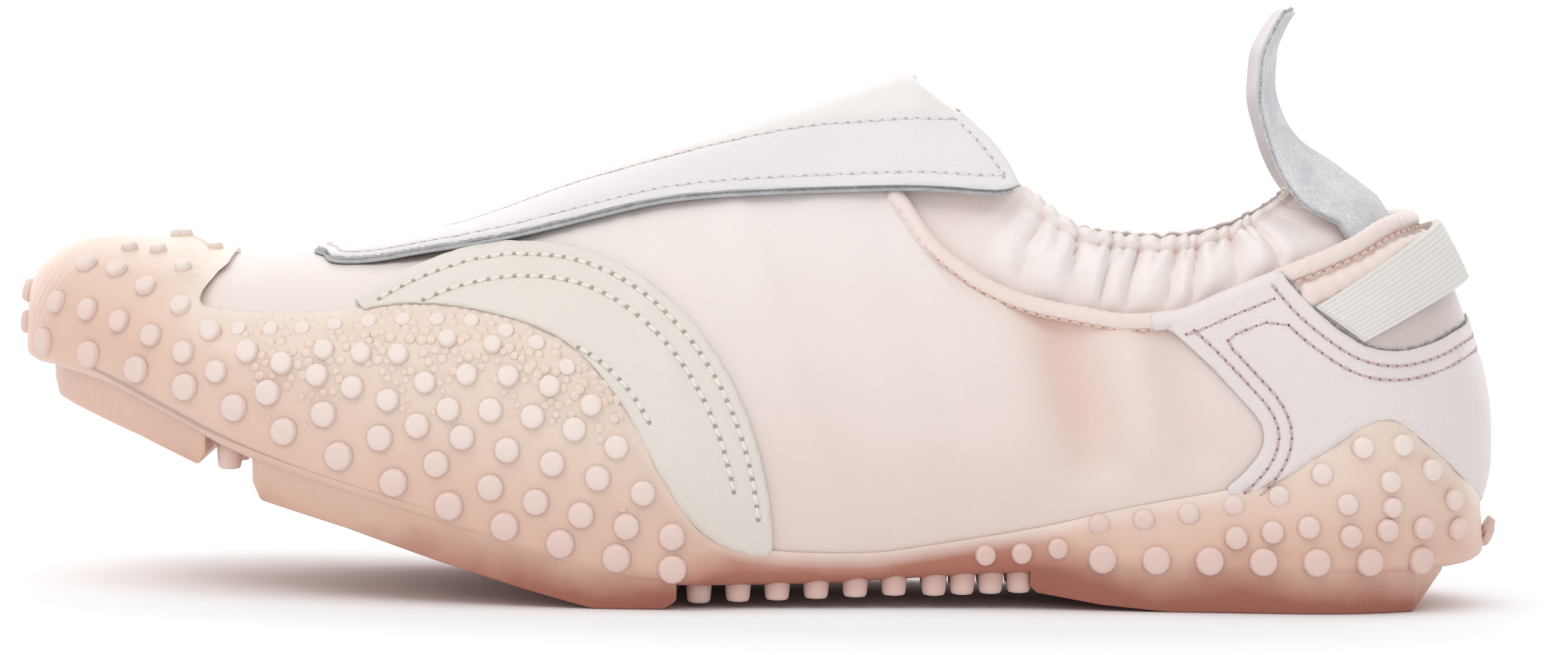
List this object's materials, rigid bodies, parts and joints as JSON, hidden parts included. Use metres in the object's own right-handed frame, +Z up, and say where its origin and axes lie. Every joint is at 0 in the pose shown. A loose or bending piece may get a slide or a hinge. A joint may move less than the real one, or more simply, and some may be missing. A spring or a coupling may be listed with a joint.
{
  "type": "slip-on sneaker",
  "caption": "Low slip-on sneaker with a hollow satin upper, an elastic collar, a heel pull tab and a nubbed rubber cup sole.",
  "frame": {"origin": "on the floor under the heel, at the middle of the heel tread's flat face", "axes": "+X from the toe towards the heel, +Y towards the shoe's inner side, +Z up from the floor"},
  "size_m": [0.2866, 0.0997, 0.1135],
  "materials": {
    "rubber": "translucent, matte, peach to rose",
    "satin": "pale pink satin with a fine twill",
    "cream_leather": "cream smooth leather",
    "pink_leather": "very pale pink smooth leather",
    "webbing": "white ribbed elastic",
    "suede": "grey suede with a smooth pale edge",
    "foam": "pale lining fabric over foam"
  },
  "bodies": {
    "root": {"sole": "rubber", "insole": "foam", "upper": "satin", "collar": "satin", "tongue": "satin", "tongue_frame": "pink_leather", "side_panel_outer": "cream_leather", "side_panel_inner": "cream_leather", "heel_counter": "pink_leather", "counter_binding_outer": "pink_leather", "counter_binding_inner": "pink_leather", "topline_piping_outer": "satin", "topline_piping_inner": "satin", "heel_binding": "satin", "heel_webbing": "webbing", "pull_tab": "suede"}
  },
  "joints": []
}
